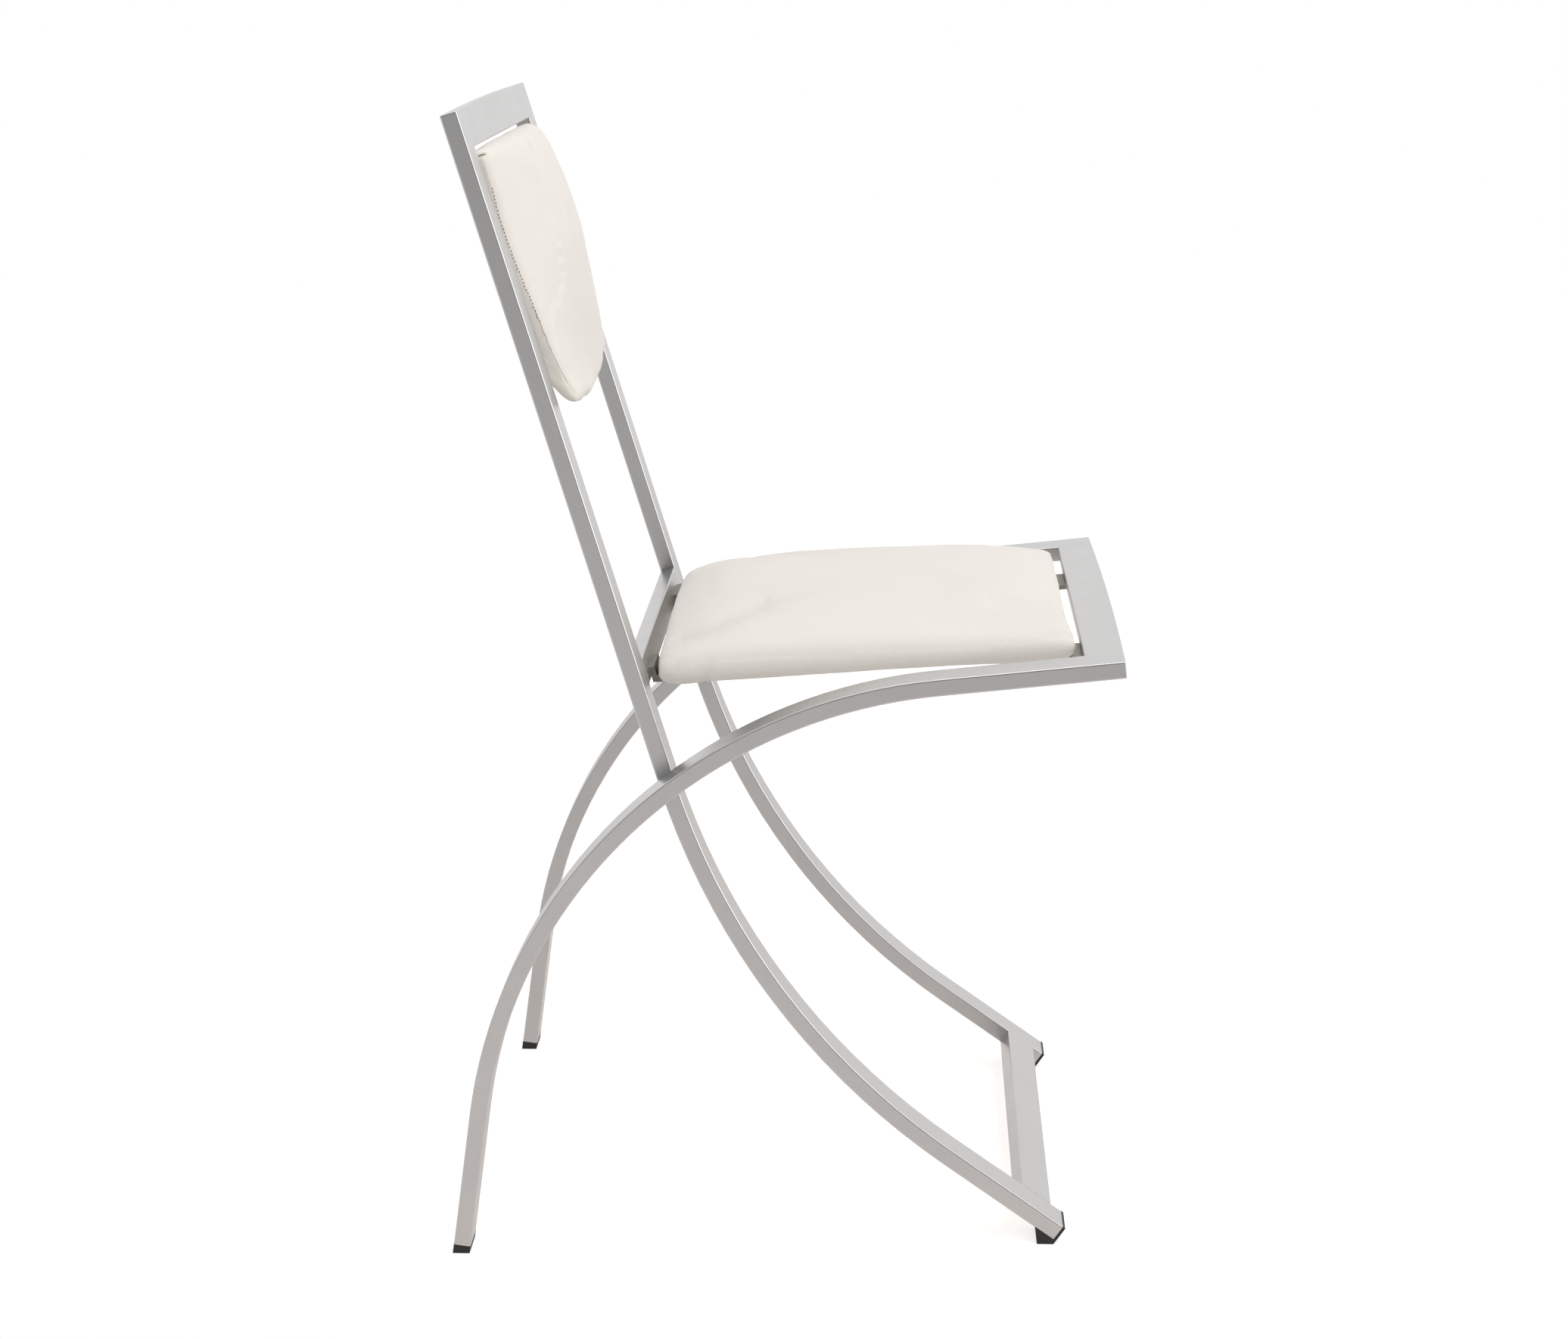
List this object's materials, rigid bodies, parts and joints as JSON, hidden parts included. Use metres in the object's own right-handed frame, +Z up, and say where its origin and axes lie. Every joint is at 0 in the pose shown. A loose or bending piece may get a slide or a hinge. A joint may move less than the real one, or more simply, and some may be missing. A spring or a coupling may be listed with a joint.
{
  "type": "folding side chair",
  "caption": "Side chair with two crossing frames of bent flat tube, a padded seat that tips up and a padded back; the frames turn on a pivot to fold.",
  "frame": {"origin": "floor level under the middle of the chair's overall box", "axes": "+Z up, +Y towards the back of the chair, -Y towards the front of the seat, +X towards the sitter's left"},
  "size_m": [0.4788, 0.5035, 0.8608],
  "materials": {
    "frame_metal": "satin silver grey",
    "pad_leather": "soft cream",
    "board": "dark lining on plywood",
    "foot_plastic": "matte black",
    "bush_plastic": "matte black",
    "strap_steel": "satin grey brown",
    "fastener_steel": "plain"
  },
  "bodies": {
    "back_frame": {"back_bar_lower": "strap_steel", "back_bar_upper": "strap_steel", "back_board": "board", "back_cushion": "pad_leather", "back_post_left": "frame_metal", "back_post_right": "frame_metal", "back_screw_lower_left": "fastener_steel", "back_screw_lower_right": "fastener_steel", "back_screw_upper_left": "fastener_steel", "back_screw_upper_right": "fastener_steel", "front_foot_left": "foot_plastic", "front_foot_right": "foot_plastic", "front_stretcher": "frame_metal", "pivot_bush_left": "bush_plastic", "pivot_bush_right": "bush_plastic", "seat_pin_left": "fastener_steel", "seat_pin_right": "fastener_steel", "top_rail": "frame_metal"},
    "seat_frame": {"front_rail": "frame_metal", "pivot_nut_left": "fastener_steel", "pivot_nut_right": "fastener_steel", "pivot_stud_left": "fastener_steel", "pivot_stud_right": "fastener_steel", "pivot_washer_left": "fastener_steel", "pivot_washer_right": "fastener_steel", "rear_foot_left": "foot_plastic", "rear_foot_right": "foot_plastic", "seat_ledge_left": "strap_steel", "seat_ledge_right": "strap_steel", "seat_rail_left": "frame_metal", "seat_rail_right": "frame_metal"},
    "seat": {"crossbar_plug_left": "bush_plastic", "crossbar_plug_right": "bush_plastic", "seat_board": "board", "seat_crossbar": "frame_metal", "seat_cushion": "pad_leather", "seat_screw_front_left": "fastener_steel", "seat_screw_front_right": "fastener_steel", "seat_screw_rear_left": "fastener_steel", "seat_screw_rear_right": "fastener_steel", "seat_strap_left": "strap_steel", "seat_strap_right": "strap_steel"}
  },
  "joints": [
    {"name": "frame_fold", "type": "hinge", "parent": "back_frame", "child": "seat_frame", "pos_m": [0, 0.08889, 0.36119], "axis": [-1, 0, 0], "range_deg": [0, 60]},
    {"name": "seat_tip", "type": "hinge", "parent": "back_frame", "child": "seat", "pos_m": [0, 0.1127, 0.4377], "axis": [-1, 0, 0], "range_deg": [0, 84]}
  ],
  "couplings": [
    {"joint": "seat_tip", "follows": "frame_fold", "ratio": 1.4}
  ]
}
